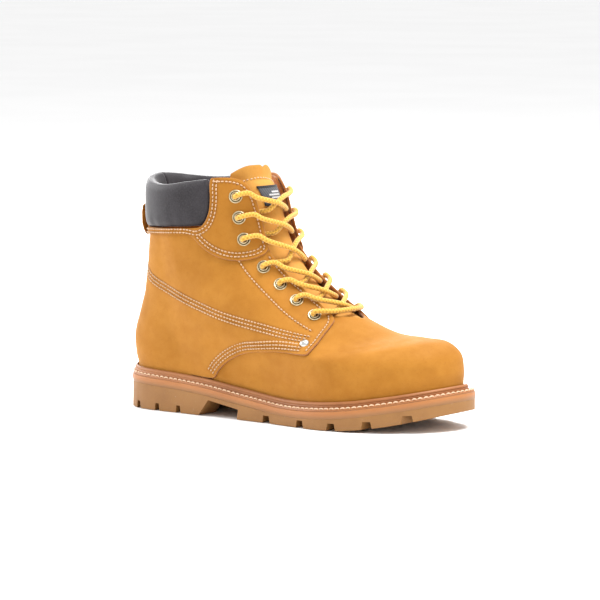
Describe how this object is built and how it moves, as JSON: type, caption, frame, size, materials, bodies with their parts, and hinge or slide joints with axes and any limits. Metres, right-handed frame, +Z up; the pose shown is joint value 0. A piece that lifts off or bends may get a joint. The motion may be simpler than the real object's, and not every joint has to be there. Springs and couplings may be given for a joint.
{
  "type": "steel toe work boot",
  "caption": "Ankle-high lace-up safety boot with a steel toe cap, padded collar, welted rubber sole and laced tongue, right foot.",
  "frame": {"origin": "on the ground, midway along and across the sole", "axes": "+X from heel to toe, +Y towards the inner side of the foot, +Z up"},
  "size_m": [0.3026, 0.1136, 0.1928],
  "materials": {
    "gum_rubber": "moulded gum rubber",
    "midsole_rubber": "smooth moulded rubber",
    "welt_rubber": "smooth moulded rubber",
    "cork": "pressed cork",
    "spring_steel": "bare",
    "fibre_board": "pressed fibre",
    "footbed_foam": "brushed knit on foam",
    "toe_steel": "grey primer",
    "rim_rubber": "matte",
    "nubuck": "wheat nubuck",
    "lining_cloth": "woven",
    "counter_board": "matte",
    "suede_lining": "rust suede",
    "nubuck_strap": "wheat nubuck",
    "collar_leather": "smooth grey",
    "foam": "open cell",
    "tongue_nubuck": "soft tan nubuck",
    "label_cloth": "woven",
    "eyelet_brass": "antique",
    "rivet_steel": "polished",
    "lace_cord": "braided",
    "aglet_plastic": "clear over cord"
  },
  "bodies": {
    "root": {"outsole": "gum_rubber", "midsole": "midsole_rubber", "welt": "welt_rubber", "bottom_filler": "cork", "shank": "spring_steel", "insole_board": "fibre_board", "steel_toe_cap": "toe_steel", "toe_cap_rim": "rim_rubber", "vamp": "nubuck", "vamp_lining": "lining_cloth", "heel_counter": "counter_board", "quarter_lateral": "nubuck", "quarter_medial": "nubuck", "quarter_lining_lateral": "suede_lining", "quarter_lining_medial": "suede_lining", "facing_lateral": "nubuck", "facing_medial": "nubuck", "backstay": "nubuck", "collar": "collar_leather", "collar_foam": "foam", "gusset_lateral": "tongue_nubuck", "gusset_medial": "tongue_nubuck", "eyelets_lateral": "eyelet_brass", "eyelets_medial": "eyelet_brass", "rivets": "rivet_steel", "lace": "lace_cord", "aglets": "aglet_plastic"},
    "tongue": {"tongue": "tongue_nubuck", "tongue_padding": "foam", "tongue_lining": "lining_cloth", "tongue_label": "label_cloth"},
    "footbed": {"footbed": "footbed_foam"},
    "pull_tab": {"pull_tab": "nubuck_strap"}
  },
  "joints": [
    {"name": "tongue_fold", "type": "hinge", "parent": "root", "child": "tongue", "pos_m": [0.063, 0.003, 0.076], "axis": [0, -1, 0], "range_deg": [0, 6]},
    {"name": "footbed_lift", "type": "hinge", "parent": "root", "child": "footbed", "pos_m": [0.134, 0.008, 0.029], "axis": [0, 1, 0], "range_deg": [0, 6]},
    {"name": "pull_tab_flap", "type": "hinge", "parent": "root", "child": "pull_tab", "pos_m": [-0.14, 0.0016, 0.133], "axis": [0, -1, 0], "range_deg": [0, 35]}
  ]
}
